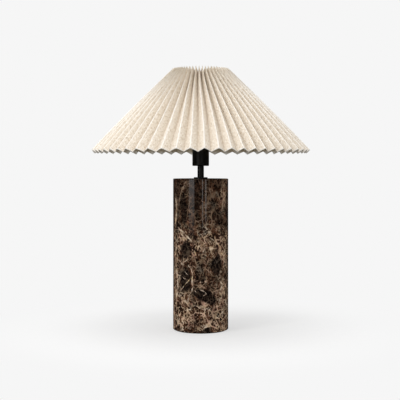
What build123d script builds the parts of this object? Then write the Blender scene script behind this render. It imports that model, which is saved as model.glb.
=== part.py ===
from build123d import *
import math
import os

# Column table lamp. Millimetres, +Z up, origin at the centre of the foot on the table,
# front of the lamp towards -Y, cord inlet at the back towards +Y.

# Foot and column
pad_thickness = 1.5
pad_inset = 4.0  # the felt stands back from the edge of the stone
column_diameter = 120.0
stone_height = 326.5
stone_edge_round = 1.2
pocket_diameter = 64.0  # the hollow below, for the nut and the slack of the cord
pocket_depth = 22.0
stone_bore = 11.5

# Way out for the cord, at the back
inlet_hole = 9.0
inlet_height = 11.0  # above the underside of the stone
bush_bore = 6.4
bush_flange_diameter = 13.0
bush_flange = 2.0
bush_length = 14.0
bush_recess = 2.6  # sunk into the round side of the stone
bush_clearance = 0.15
bush_chamfer = 0.5

# Rod and its fasteners
rod_diameter = 10.0
rod_bore = 7.0
rod_clearance = 0.15  # round the rod in every piece that it carries
rod_overrun = 3.0  # past the nut at each end
rod_chamfer = 0.5
nut_across_flats = 17.0
nut_height = 5.0
nut_chamfer = 0.6
clamp_washer_diameter = 50.0
clamp_washer_thickness = 3.0
lock_washer_diameter = 18.0
lock_washer_thickness = 1.5

# Neck
seat_washer_diameter = 30.0
seat_washer_thickness = 3.0
seat_washer_chamfer = 0.5
neck_diameter = 14.0
neck_bore = 10.8
neck_length = 24.6

# Lamp holder, for an E27 bulb
cap_diameter = 36.4
cap_height = 42.4
cap_wall = 1.0
cap_floor = 1.6
cap_edge_round = 1.8
core_clearance = 0.3  # between the porcelain and the cup
core_cavity_diameter = 26.0
core_cavity_height = 17.0
wire_notch_height = 8.5
core_disc_thickness = 13.0
core_rim_height = 3.0
core_rim_bore = 28.4
screw_pitch_radius = 8.5
screw_diameter = 3.0
screw_length = 10.0
screw_head_diameter = 5.6
screw_head_height = 2.4
screw_slot = 0.8
screw_slot_depth = 1.2
screw_clearance = 0.1
cut_overrun = 0.5  # slots and notches are cut this far past what they open
shell_bore = 26.9
shell_wall = 0.4
shell_height = 26.0
shell_foot_bore = 16.0
leaf_width = 7.0
leaf_thickness = 0.6
leaf_foot = 4.0
leaf_reach = 6.5
leaf_rise = 5.4
sleeve_spigot_clearance = 0.1
collar_diameter = 46.0
collar_thickness = 3.0
skirt_diameter = 39.6
skirt_height = 24.0
skirt_bore = 33.0
sleeve_throat = 28.6
throat_height = 11.0
skirt_chamfer = 0.6

# Shade fitting
seat_gap = 0.3  # between the pieces that turn or lift and what they rest on
ring_clearance = 0.35
plate_diameter = 62.0
plate_thickness = 1.5
ring_flange_diameter = 57.0
ring_flange = 2.6
ring_hub_diameter = 47.0
ring_height = 8.0
ring_grips = 16
ring_grip_radius = 1.8
ring_chamfer = 0.9
arm_diameter = 4.0
arm_count = 3
arm_setback = 1.5  # the arms stop this far outside the collar
weld_gap = 0.1  # between pieces that are welded together

# Shade
pleats = 56
first_ridge = 0.8  # degrees from +X
rim_radius = 237.5
rim_drop = 10.8  # the outer folds of the lower rim reach this far below the fitter plate
crown_radius = 61.5
shade_rise = 177.5  # from the lower rim to the upper one
pleat_width = 17.1  # of one flat between two folds
sheet_thickness = 0.8
rim_overrun = 4.0  # the folds are drawn this far past both rims, then cut
hoop_diameter = 3.0
hoop_gap = 0.3  # between a hoop and the inner folds
hoop_lift = 7.2  # of the lower hoop, above the lower rim
upper_hoop_drop = 14.0  # below the notches of the upper rim
strut_count = 6
strut_diameter = 3.0

# Bulb
bulb_gap = 0.35
contact_gap = 0.3
bulb_length = 106.0
globe_diameter = 60.0
globe_wall = 1.0
bulb_neck_diameter = 27.6
bulb_neck_length = 11.0
bulb_cap_height = 21.0
bulb_cap_wall = 0.6
insulator_height = 3.6
tip_diameter = 9.6
tip_height = 2.0
tip_round = 1.2

# Heights, each from the piece below
stone_bottom = pad_thickness
stone_top = stone_bottom + stone_height
pocket_roof = stone_bottom + pocket_depth
clamp_washer_bottom = pocket_roof - clamp_washer_thickness
lock_washer_bottom = clamp_washer_bottom - lock_washer_thickness
column_nut_bottom = lock_washer_bottom - nut_height
inlet_level = stone_bottom + inlet_height
neck_bottom = stone_top + seat_washer_thickness
cap_bottom = neck_bottom + neck_length
cap_top = cap_bottom + cap_height
cap_floor_top = cap_bottom + cap_floor
cap_nut_bottom = cap_floor_top + lock_washer_thickness
rod_bottom = column_nut_bottom - rod_overrun
rod_top = cap_nut_bottom + nut_height + rod_overrun
core_disc_bottom = cap_floor_top + core_cavity_height
core_disc_top = core_disc_bottom + core_disc_thickness
core_top = core_disc_top + core_rim_height
leaf_top = core_disc_top + leaf_rise
collar_top = cap_top + collar_thickness
skirt_top = collar_top + skirt_height
plate_bottom = collar_top + seat_gap
plate_top = plate_bottom + plate_thickness
ring_bottom = plate_top + seat_gap
rim_height = plate_bottom - rim_drop
crown_height = rim_height + shade_rise
lower_hoop_height = rim_height + hoop_lift
tip_bottom = leaf_top + contact_gap
insulator_bottom = tip_bottom + tip_height
bulb_cap_bottom = insulator_bottom + insulator_height
bulb_cap_top = bulb_cap_bottom + bulb_cap_height
bulb_top = tip_bottom + bulb_length

# Radii
column_radius = column_diameter / 2
pocket_radius = pocket_diameter / 2
rod_hole_radius = rod_diameter / 2 + rod_clearance
cap_inner_radius = cap_diameter / 2 - cap_wall
core_radius = cap_inner_radius - core_clearance
plate_bore_radius = skirt_diameter / 2 + ring_clearance
bulb_cap_radius = shell_bore / 2 - bulb_gap

os.makedirs("parts", exist_ok=True)


# Foot and column

with BuildPart() as base_pad:
    Cylinder(
        column_radius - pad_inset,
        pad_thickness,
        align=(Align.CENTER, Align.CENTER, Align.MIN),
    )
base_pad.part.label = "base_pad"

with BuildPart() as marble_column:
    with BuildSketch(Plane.XY.offset(stone_bottom)):
        Circle(column_radius)
        Circle(stone_bore / 2, mode=Mode.SUBTRACT)
    extrude(amount=stone_height)
    rims = marble_column.edges().filter_by(GeomType.CIRCLE).group_by(SortBy.RADIUS)[-1]
    fillet(rims, radius=stone_edge_round)
    with BuildSketch(Plane.XY.offset(stone_bottom)):
        Circle(pocket_radius)
    extrude(amount=pocket_depth, mode=Mode.SUBTRACT)
    with BuildSketch(Plane.XZ.offset(-column_radius)):
        with Locations((0, inlet_level)):
            Circle(inlet_hole / 2)
    extrude(amount=column_radius - pocket_radius / 2, mode=Mode.SUBTRACT)
    with BuildSketch(Plane.XZ.offset(-column_radius)):
        with Locations((0, inlet_level)):
            Circle(bush_flange_diameter / 2 + bush_clearance)
    extrude(amount=bush_recess, mode=Mode.SUBTRACT)
marble_column.part.label = "marble_column"

with BuildPart() as cord_bush:
    with BuildSketch(Plane.XZ.offset(bush_recess - column_radius)):
        with Locations((0, inlet_level)):
            Circle(bush_flange_diameter / 2)
    extrude(amount=-bush_flange)
    with BuildSketch(Plane.XZ.offset(bush_recess - column_radius)):
        with Locations((0, inlet_level)):
            Circle(inlet_hole / 2 - bush_clearance)
    extrude(amount=bush_length - bush_flange)
    with BuildSketch(Plane.XZ.offset(-column_radius)):
        with Locations((0, inlet_level)):
            Circle(bush_bore / 2)
    extrude(amount=bush_recess + bush_length, mode=Mode.SUBTRACT)
    outer_rim = cord_bush.faces().sort_by(Axis.Y)[-1].edges()
    chamfer(outer_rim, length=bush_chamfer)
cord_bush.part.label = "cord_bush"


def washer(outer_diameter, thickness, bottom):
    """Flat washer on the rod, with its underside at the height bottom."""
    with BuildPart() as ring:
        with BuildSketch(Plane.XY.offset(bottom)):
            Circle(outer_diameter / 2)
            Circle(rod_hole_radius, mode=Mode.SUBTRACT)
        extrude(amount=thickness)
    return ring


def hex_nut(bottom):
    """Hexagon nut on the rod, chamfered at its corners, with its underside at the height bottom."""
    with BuildPart() as nut:
        with BuildSketch(Plane.XY.offset(bottom)):
            RegularPolygon(nut_across_flats / 2, 6, major_radius=False)
            Circle(rod_hole_radius, mode=Mode.SUBTRACT)
        extrude(amount=nut_height)
        corner_radius = nut_across_flats / math.sqrt(3)
        with BuildSketch(Plane.XZ):
            with BuildLine():
                Polyline(
                    (0, bottom),
                    (corner_radius - nut_chamfer, bottom),
                    (corner_radius, bottom + nut_chamfer / 2),
                    (corner_radius, bottom + nut_height - nut_chamfer / 2),
                    (corner_radius - nut_chamfer, bottom + nut_height),
                    (0, bottom + nut_height),
                    close=True,
                )
            make_face()
        revolve(axis=Axis.Z, mode=Mode.INTERSECT)
    return nut


clamp_washer = washer(clamp_washer_diameter, clamp_washer_thickness, clamp_washer_bottom)
clamp_washer.part.label = "clamp_washer"

lock_washer = washer(lock_washer_diameter, lock_washer_thickness, lock_washer_bottom)
lock_washer.part.label = "lock_washer"

column_nut = hex_nut(column_nut_bottom)
column_nut.part.label = "column_nut"

with BuildPart() as threaded_rod:
    with BuildSketch(Plane.XY.offset(rod_bottom)):
        Circle(rod_diameter / 2)
        Circle(rod_bore / 2, mode=Mode.SUBTRACT)
    extrude(amount=rod_top - rod_bottom)
    rod_rims = threaded_rod.edges().filter_by(GeomType.CIRCLE).group_by(SortBy.RADIUS)[-1]
    chamfer(rod_rims, length=rod_chamfer)
threaded_rod.part.label = "threaded_rod"

with BuildPart() as seat_washer:
    with BuildSketch(Plane.XY.offset(stone_top)):
        Circle(seat_washer_diameter / 2)
        Circle(rod_hole_radius, mode=Mode.SUBTRACT)
    extrude(amount=seat_washer_thickness)
    upper_rim = seat_washer.faces().sort_by(Axis.Z)[-1].edges().sort_by(SortBy.RADIUS)[-1]
    chamfer(upper_rim, length=seat_washer_chamfer)
seat_washer.part.label = "seat_washer"

with BuildPart() as neck_tube:
    with BuildSketch(Plane.XY.offset(neck_bottom)):
        Circle(neck_diameter / 2)
        Circle(neck_bore / 2, mode=Mode.SUBTRACT)
    extrude(amount=neck_length)
neck_tube.part.label = "neck_tube"


# Lamp holder

with BuildPart() as holder_cap:
    with BuildSketch(Plane.XZ):
        with BuildLine():
            Polyline(
                (rod_hole_radius, cap_bottom),
                (cap_diameter / 2, cap_bottom),
                (cap_diameter / 2, cap_top),
                (cap_inner_radius, cap_top),
                (cap_inner_radius, cap_floor_top),
                (rod_hole_radius, cap_floor_top),
                close=True,
            )
        make_face()
    revolve(axis=Axis.Z)
    lower_rim = holder_cap.faces().sort_by(Axis.Z)[0].edges().sort_by(SortBy.RADIUS)[-1]
    fillet(lower_rim, radius=cap_edge_round)
holder_cap.part.label = "holder_cap"

cap_lock_washer = washer(lock_washer_diameter, lock_washer_thickness, cap_floor_top)
cap_lock_washer.part.label = "cap_lock_washer"

cap_nut = hex_nut(cap_nut_bottom)
cap_nut.part.label = "cap_nut"

with BuildPart() as holder_core:
    with BuildSketch(Plane.XZ):
        with BuildLine():
            Polyline(
                (0, core_disc_bottom),
                (core_cavity_diameter / 2, core_disc_bottom),
                (core_cavity_diameter / 2, cap_floor_top),
                (core_radius, cap_floor_top),
                (core_radius, core_top),
                (core_rim_bore / 2, core_top),
                (core_rim_bore / 2, core_disc_top),
                (0, core_disc_top),
                close=True,
            )
        make_face()
    revolve(axis=Axis.Z)
    with BuildSketch(Plane.XY.offset(core_disc_bottom)):
        with PolarLocations(screw_pitch_radius, 2):
            Circle(screw_diameter / 2 + screw_clearance)
    extrude(amount=screw_length + screw_clearance, mode=Mode.SUBTRACT)
    # two notches in the foot let the wires reach the screws
    with BuildSketch(Plane.XY.offset(cap_floor_top)):
        Rectangle(screw_head_diameter, 2 * (core_radius + cut_overrun))
    extrude(amount=wire_notch_height, mode=Mode.SUBTRACT)
holder_core.part.label = "holder_core"

with BuildPart() as terminal_screws:
    with BuildSketch(Plane.XY.offset(core_disc_bottom)):
        with PolarLocations(screw_pitch_radius, 2):
            Circle(screw_diameter / 2)
    extrude(amount=screw_length)
    with BuildSketch(Plane.XY.offset(core_disc_bottom)):
        with PolarLocations(screw_pitch_radius, 2):
            Circle(screw_head_diameter / 2)
    extrude(amount=-screw_head_height)
    with BuildSketch(Plane.XY.offset(core_disc_bottom - screw_head_height)):
        with PolarLocations(screw_pitch_radius, 2):
            Rectangle(screw_slot, screw_head_diameter + 2 * cut_overrun)
    extrude(amount=screw_slot_depth, mode=Mode.SUBTRACT)
terminal_screws.part.label = "terminal_screws"

with BuildPart() as screw_shell:
    shell_radius = shell_bore / 2 + shell_wall
    with BuildSketch(Plane.XZ):
        with BuildLine():
            Polyline(
                (shell_foot_bore / 2, core_disc_top),
                (shell_radius, core_disc_top),
                (shell_radius, core_disc_top + shell_height),
                (shell_bore / 2, core_disc_top + shell_height),
                (shell_bore / 2, core_disc_top + shell_wall),
                (shell_foot_bore / 2, core_disc_top + shell_wall),
                close=True,
            )
        make_face()
    revolve(axis=Axis.Z)
screw_shell.part.label = "screw_shell"

with BuildPart() as centre_contact:
    # a bent leaf: flat foot on the porcelain, a slope, and a flat tongue under the bulb
    half_sheet = leaf_thickness / 2
    with BuildSketch(Plane.XZ):
        with BuildLine():
            leaf_line = Polyline(
                (-leaf_reach, core_disc_top + half_sheet),
                (leaf_foot - leaf_reach, core_disc_top + half_sheet),
                (leaf_reach - leaf_foot, leaf_top - half_sheet),
                (leaf_reach, leaf_top - half_sheet),
            )
        trace(leaf_line, line_width=leaf_thickness)
    extrude(amount=leaf_width / 2, both=True)
centre_contact.part.label = "centre_contact"

with BuildPart() as holder_sleeve:
    spigot_radius = cap_inner_radius - sleeve_spigot_clearance
    throat_top = collar_top + throat_height
    with BuildSketch(Plane.XZ):
        with BuildLine():
            Polyline(
                (sleeve_throat / 2, core_top),
                (spigot_radius, core_top),
                (spigot_radius, cap_top),
                (collar_diameter / 2, cap_top),
                (collar_diameter / 2, collar_top),
                (skirt_diameter / 2, collar_top),
                (skirt_diameter / 2, skirt_top),
                (skirt_bore / 2, skirt_top),
                (skirt_bore / 2, throat_top),
                (sleeve_throat / 2, throat_top),
                close=True,
            )
        make_face()
    revolve(axis=Axis.Z)
    mouth = holder_sleeve.faces().sort_by(Axis.Z)[-1].edges()
    chamfer(mouth, length=skirt_chamfer)
holder_sleeve.part.label = "holder_sleeve"

with BuildPart() as shade_ring:
    with BuildSketch(Plane.XY.offset(ring_bottom)):
        Circle(ring_flange_diameter / 2)
        with PolarLocations(ring_flange_diameter / 2 + ring_grip_radius / 2, ring_grips):
            Circle(ring_grip_radius, mode=Mode.SUBTRACT)
    extrude(amount=ring_flange)
    with BuildSketch(Plane.XY.offset(ring_bottom)):
        Circle(ring_hub_diameter / 2)
    extrude(amount=ring_height)
    hub_rim = shade_ring.faces().sort_by(Axis.Z)[-1].edges()
    chamfer(hub_rim, length=ring_chamfer)
    with BuildSketch(Plane.XY.offset(ring_bottom)):
        Circle(plate_bore_radius)
    extrude(amount=ring_height, mode=Mode.SUBTRACT)
shade_ring.part.label = "shade_ring"


# Shade
#
# The cloth is a long strip folded to and fro, so the flats keep one width while the outer folds
# draw together towards the crown, and the folds get deeper there. The strip is cut square,
# so at each rim an inner fold ends a pleat's depth behind its neighbours, square to the slope.

cone_run = rim_radius - crown_radius
slope = math.atan2(shade_rise, cone_run)
fold_angle = math.radians(180 / pleats)


def pleat_depth(radius):
    half_pitch = radius * math.sin(fold_angle)
    return math.sqrt(pleat_width**2 - half_pitch**2)


rim_depth = pleat_depth(rim_radius)
crown_depth = pleat_depth(crown_radius)
rim_valley = (
    rim_radius - rim_depth * math.sin(slope),
    rim_height - rim_depth * math.cos(slope),
)
crown_valley = (
    crown_radius - crown_depth * math.sin(slope),
    crown_height - crown_depth * math.cos(slope),
)


def ridge_radius(height):
    return rim_radius - (height - rim_height) * cone_run / shade_rise


def valley_radius(height):
    share = (height - rim_valley[1]) / (crown_valley[1] - rim_valley[1])
    return rim_valley[0] + share * (crown_valley[0] - rim_valley[0])


def sheet_in_plan(height):
    """Thickness of the sheet measured towards the axis, where the flats run at a steep angle."""
    half_pitch = ridge_radius(min(height, crown_height)) * math.sin(fold_angle)
    return sheet_thickness * pleat_width / half_pitch


low_level = rim_valley[1] - rim_overrun
high_level = crown_height + rim_overrun
middle_level = (low_level + high_level) / 2


def lining_offset(height):
    """How far the lining lies inside the face in plan: drawn straight between three levels."""
    if height < middle_level:
        below, above = low_level, middle_level
    else:
        below, above = middle_level, high_level
    share = (height - below) / (above - below)
    return (1 - share) * sheet_in_plan(below) + share * sheet_in_plan(above)


def fold_point(fold, height, inward):
    """Point of one fold at one height, drawn in towards the axis; even folds are the outer ones."""
    radius = valley_radius(height) if fold % 2 else ridge_radius(height)
    angle = math.radians(first_ridge) + fold * fold_angle
    return ((radius - inward) * math.cos(angle), (radius - inward) * math.sin(angle))


def folded_outline(height, first_fold, last_fold):
    """Closed outline of one length of cloth at one height: out along its face, back along its lining."""
    folds = range(first_fold, last_fold + 1)
    inward = lining_offset(height)
    face = [fold_point(fold, height, 0) for fold in folds]
    lining = [fold_point(fold, height, inward) for fold in reversed(folds)]
    return Polyline(*face, *lining, close=True)


spare = 1.3  # how much larger the cut at a rim is than the ends of the folds


def beyond_rim(end_radius, end_height, away):
    """Profile of what lies past a rim: all beyond a line square to the slope through the rim."""
    across = spare * pleat_width
    along = spare * (pleat_width * math.cos(slope) + rim_overrun) / math.sin(slope)
    back = (end_radius - across * math.sin(slope), end_height - across * math.cos(slope))
    front = (end_radius + across * math.sin(slope), end_height + across * math.cos(slope))
    shift = (away * along * math.cos(slope), -away * along * math.sin(slope))
    return Polyline(
        back,
        front,
        (front[0] + shift[0], front[1] + shift[1]),
        (back[0] + shift[0], back[1] + shift[1]),
        close=True,
    )


# The cloth comes in two equal lengths, which meet at an inner fold on the right and on the left.
back_seam = 1
front_seam = back_seam + pleats


def pleated_length(first_fold, last_fold):
    """One length of the pleated cloth, from one seam to the other."""
    with BuildPart() as cloth:
        for height in (low_level, middle_level, high_level):
            with BuildSketch(Plane.XY.offset(height)):
                with BuildLine():
                    folded_outline(height, first_fold, last_fold)
                make_face()
        loft(ruled=True, clean=False)
        with BuildSketch(Plane.XZ):
            with BuildLine():
                beyond_rim(rim_radius, rim_height, 1)
            make_face()
            with BuildLine():
                beyond_rim(crown_radius, crown_height, -1)
            make_face()
        revolve(axis=Axis.Z, mode=Mode.SUBTRACT, clean=False)
    return cloth


back_cloth = pleated_length(back_seam, front_seam)
back_cloth.part.label = "back_cloth"

front_cloth = pleated_length(front_seam, back_seam + 2 * pleats)
front_cloth.part.label = "front_cloth"

valley_lean = math.atan2(rim_valley[0] - crown_valley[0], crown_valley[1] - rim_valley[1])


def inside_folds(height, standoff):
    """Radius at a height of a line that lies standoff inside the inner folds, square to them."""
    inner_fold = valley_radius(height) - lining_offset(height)
    return inner_fold - standoff / math.cos(valley_lean)


hoop_standoff = hoop_gap + hoop_diameter / 2
upper_hoop_height = crown_valley[1] - upper_hoop_drop
lower_hoop_radius = inside_folds(lower_hoop_height, hoop_standoff)
upper_hoop_radius = inside_folds(upper_hoop_height, hoop_standoff)


def hoop(radius, height):
    """Round wire hoop about the axis."""
    with BuildPart() as ring:
        with BuildSketch(Plane.XZ):
            with Locations((radius, height)):
                Circle(hoop_diameter / 2)
        revolve(axis=Axis.Z)
    return ring


lower_hoop = hoop(lower_hoop_radius, lower_hoop_height)
lower_hoop.part.label = "lower_hoop"

upper_hoop = hoop(upper_hoop_radius, upper_hoop_height)
upper_hoop.part.label = "upper_hoop"

with BuildPart() as frame_struts:
    # each strut lies inside both hoops, welded where it crosses them
    hoop_lean = math.atan2(
        lower_hoop_radius - upper_hoop_radius,
        upper_hoop_height - lower_hoop_height,
    )
    weld_reach = (hoop_diameter + strut_diameter) / 2 + weld_gap
    lower_end = Vector(
        lower_hoop_radius - weld_reach * math.cos(hoop_lean),
        0,
        lower_hoop_height - weld_reach * math.sin(hoop_lean),
    )
    upper_end = Vector(
        upper_hoop_radius - weld_reach * math.cos(hoop_lean),
        0,
        upper_hoop_height - weld_reach * math.sin(hoop_lean),
    )
    along = (upper_end - lower_end).normalized()
    strut_length = (upper_end - lower_end).length + hoop_diameter
    for turn in range(strut_count):
        start = (lower_end - along * hoop_diameter / 2).rotate(Axis.Z, turn * 360 / strut_count)
        with BuildSketch(Plane(origin=start, z_dir=along.rotate(Axis.Z, turn * 360 / strut_count))):
            Circle(strut_diameter / 2)
        extrude(amount=strut_length)
frame_struts.part.label = "frame_struts"

with BuildPart() as fitter_plate:
    with BuildSketch(Plane.XY.offset(plate_bottom)):
        Circle(plate_diameter / 2)
        Circle(plate_bore_radius, mode=Mode.SUBTRACT)
    extrude(amount=plate_thickness)
fitter_plate.part.label = "fitter_plate"

with BuildPart() as fitter_arms:
    # spokes under the plate, out to the inner side of the lower hoop
    arm_height = plate_bottom - weld_gap - arm_diameter / 2
    arm_start = collar_diameter / 2 + arm_setback
    arm_end = lower_hoop_radius - hoop_diameter / 2 - weld_gap
    for turn in range(arm_count):
        out = Vector(1, 0, 0).rotate(Axis.Z, 90 + turn * 360 / arm_count)
        start = out * arm_start + Vector(0, 0, arm_height)
        with BuildSketch(Plane(origin=start, z_dir=out)):
            Circle(arm_diameter / 2)
        extrude(amount=arm_end - arm_start)
fitter_arms.part.label = "fitter_arms"


# Bulb

with BuildPart() as bulb_globe:
    # a ball that runs into a neck through one tangent curve, drawn as a thin glass wall
    neck_radius = bulb_neck_diameter / 2
    globe_radius = globe_diameter / 2
    globe_centre = bulb_top - globe_radius
    neck_top = bulb_cap_top + bulb_neck_length
    # arc of the shoulder, tangent to the straight neck and to the ball
    rise = globe_centre - neck_top
    shoulder = (rise**2 + neck_radius**2 - globe_radius**2) / (2 * (globe_radius - neck_radius))
    touch = globe_radius / (globe_radius + shoulder)
    touch_point = (
        touch * (neck_radius + shoulder),
        globe_centre - touch * rise,
    )
    shoulder_angle = math.atan2(rise, neck_radius + shoulder)
    shoulder_middle = (
        neck_radius + shoulder - shoulder * math.cos(shoulder_angle / 2),
        neck_top + shoulder * math.sin(shoulder_angle / 2),
    )
    with BuildSketch(Plane.XZ):
        with BuildLine():
            Line((0, bulb_cap_top), (neck_radius, bulb_cap_top))
            Line((neck_radius, bulb_cap_top), (neck_radius, neck_top))
            ThreePointArc((neck_radius, neck_top), shoulder_middle, touch_point)
            ThreePointArc(
                touch_point,
                (
                    globe_radius * math.cos((math.pi / 2 - shoulder_angle) / 2),
                    globe_centre + globe_radius * math.sin((math.pi / 2 - shoulder_angle) / 2),
                ),
                (0, bulb_top),
            )
            Line((0, bulb_top), (0, bulb_cap_top))
        make_face()
    revolve(axis=Axis.Z)
    open_foot = bulb_globe.faces().sort_by(Axis.Z)[0]
    offset(amount=-globe_wall, openings=open_foot)
bulb_globe.part.label = "bulb_globe"

with BuildPart() as bulb_cap:
    with BuildSketch(Plane.XY.offset(bulb_cap_bottom)):
        Circle(bulb_cap_radius)
    extrude(amount=bulb_cap_height)
    cap_foot = bulb_cap.faces().sort_by(Axis.Z)[0]
    offset(amount=-bulb_cap_wall, openings=cap_foot)
bulb_cap.part.label = "bulb_cap"

with BuildPart() as bulb_insulator:
    with BuildSketch(Plane.XZ):
        with BuildLine():
            Polyline(
                (0, insulator_bottom),
                (tip_diameter / 2, insulator_bottom),
                (bulb_cap_radius, bulb_cap_bottom),
                (0, bulb_cap_bottom),
                close=True,
            )
        make_face()
    revolve(axis=Axis.Z)
bulb_insulator.part.label = "bulb_insulator"

with BuildPart() as bulb_tip:
    with BuildSketch(Plane.XY.offset(tip_bottom)):
        Circle(tip_diameter / 2)
    extrude(amount=tip_height)
    tip_rim = bulb_tip.faces().sort_by(Axis.Z)[0].edges()
    fillet(tip_rim, radius=tip_round)
bulb_tip.part.label = "bulb_tip"


for piece in (
    base_pad,
    marble_column,
    cord_bush,
    clamp_washer,
    lock_washer,
    column_nut,
    threaded_rod,
    seat_washer,
    neck_tube,
    holder_cap,
    cap_lock_washer,
    cap_nut,
    holder_core,
    terminal_screws,
    centre_contact,
    screw_shell,
    holder_sleeve,
    shade_ring,
    fitter_plate,
    fitter_arms,
    lower_hoop,
    upper_hoop,
    frame_struts,
    front_cloth,
    back_cloth,
    bulb_globe,
    bulb_cap,
    bulb_insulator,
    bulb_tip,
):
    export_step(piece.part, f"parts/{piece.part.label}.step")
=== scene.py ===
import math
import random

import bmesh
import bpy
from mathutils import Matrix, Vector


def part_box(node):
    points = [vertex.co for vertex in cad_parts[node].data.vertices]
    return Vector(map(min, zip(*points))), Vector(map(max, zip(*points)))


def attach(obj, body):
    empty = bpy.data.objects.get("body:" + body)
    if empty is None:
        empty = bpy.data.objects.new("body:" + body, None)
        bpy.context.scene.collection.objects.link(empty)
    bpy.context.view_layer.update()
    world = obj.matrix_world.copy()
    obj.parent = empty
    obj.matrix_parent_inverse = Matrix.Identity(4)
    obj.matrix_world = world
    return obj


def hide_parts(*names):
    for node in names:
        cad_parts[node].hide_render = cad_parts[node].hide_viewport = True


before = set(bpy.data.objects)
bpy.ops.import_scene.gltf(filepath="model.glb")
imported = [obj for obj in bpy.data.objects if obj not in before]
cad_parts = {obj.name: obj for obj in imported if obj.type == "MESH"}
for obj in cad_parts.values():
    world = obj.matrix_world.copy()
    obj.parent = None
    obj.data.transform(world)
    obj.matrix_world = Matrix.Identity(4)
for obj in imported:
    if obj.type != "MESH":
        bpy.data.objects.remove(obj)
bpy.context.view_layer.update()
print("frame loaded:", len(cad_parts), "nodes")


def hexToLinear(code):
    channels = [int(code[i:i + 2], 16) / 255 for i in (1, 3, 5)]
    return tuple(c / 12.92 if c <= 0.04045 else ((c + 0.055) / 1.055) ** 2.4 for c in channels) + (1.0,)


def addNode(tree, kind, settings=None, values=None, links=None):
    node = tree.nodes.new(kind)
    for name, value in (settings or {}).items():
        setattr(node, name, value)
    for socket, value in (values or {}).items():
        node.inputs[socket].default_value = value
    for socket, source in (links or {}).items():
        tree.links.new(source, node.inputs[socket])
    return node


def startMaterial(name):
    material = bpy.data.materials.new(name)
    material.use_nodes = True
    tree = material.node_tree
    tree.nodes.clear()
    return material, tree


def finishMaterial(tree, values, links):
    shader = addNode(tree, "ShaderNodeBsdfPrincipled", values=values, links=links)
    addNode(tree, "ShaderNodeOutputMaterial", links={"Surface": shader.outputs["BSDF"]})


def rampStops(ramp, stops):
    # the colour ramp gets one stop for each (place, colour)
    elements = ramp.color_ramp.elements
    while len(elements) < len(stops):
        elements.new(0.5)
    for element, (place, colour) in zip(elements, stops):
        element.position = place
        element.color = hexToLinear(colour) if isinstance(colour, str) else (colour, colour, colour, 1.0)


def placeOnStage(name, mesh):
    thing = bpy.data.objects.new(name, mesh)
    bpy.context.scene.collection.objects.link(thing)
    return thing


def meshFrom(shape, name):
    mesh = bpy.data.meshes.new(name)
    shape.to_mesh(mesh)
    shape.free()
    return mesh


# Camera at the photograph's view: level, a little below the shade's lower rim

cameraView = {
    "distance": 2.051,
    "height": 0.355,
    "lens": 84.69,
    "sensor": 36.0,
    "shiftX": -0.00175,
    "shiftY": -0.0845,
}


def makeCamera(view):
    data = bpy.data.cameras.new("cameraData")
    data.lens = view["lens"]
    data.sensor_width = view["sensor"]
    data.shift_x = view["shiftX"]
    data.shift_y = view["shiftY"]
    camera = bpy.data.objects.new("camera", data)
    camera.location = (0, -view["distance"], view["height"])
    camera.rotation_euler = (math.radians(90), 0, 0)
    bpy.context.scene.collection.objects.link(camera)
    bpy.context.scene.camera = camera


makeCamera(cameraView)
print("camera placed")


# Studio: white paper on the ground, a pale background, and a dark room that polished stone shows

studio = {
    "background": "#F6F6F6",
    "paperSeen": "#F7F7F7",
    "paperGlow": "#A9A9A7",  # what the paper throws back on the lamp
    "room": "#1C1C1C",
    "ambient": 0.73,
    "groundHalfSide": 4.0,
    "fadeStart": 0.2,
    "fadeEnd": 0.5,
    "leastFade": 0.55,
    "shadeMiddle": 0.45,  # height that the high lamps aim at
}

# upright panels that the column mirrors: azimuth is counted from the front towards the right, low is the
# height of the lower edge, and rise is the share of the panel over which its glow comes up
panels = [
    {
        "name": "softboxLeft", "azimuth": -38, "distance": 1.7, "low": 0.03, "size": (0.7, 1.53),
        "watts": 4.6, "rise": 0.2,
    },
    {
        "name": "softboxRight", "azimuth": 84, "distance": 2.4, "low": 0.5, "size": (0.8, 1.2),
        "watts": 2.0,
    },
    {
        "name": "stripNear", "azimuth": 7.6, "distance": 2.3, "low": 0.04, "size": (0.13, 1.36),
        "watts": 0.95, "rise": 0.09,
    },
    {
        "name": "stripFar", "azimuth": 20.8, "distance": 2.3, "low": 0.04, "size": (0.2, 1.36),
        "watts": 1.3, "rise": 0.09,
    },
]
# these hang too high to be mirrored in the column
highLamps = [
    {"name": "keyHigh", "place": (-1.25, -1.05, 1.5), "size": (0.5, 0.5), "watts": 7.2},
    {"name": "overhead", "place": (0.0, -0.3, 2.2), "size": (1.6, 1.3), "watts": 15.0},
]


def isAny(tree, rays, *kinds):
    # 1 where the ray is one of these kinds
    total = rays.outputs[kinds[0]]
    for kind in kinds[1:]:
        total = addNode(
            tree, "ShaderNodeMath", {"operation": "MAXIMUM"}, links={0: total, 1: rays.outputs[kind]},
        ).outputs[0]
    return total


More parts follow.
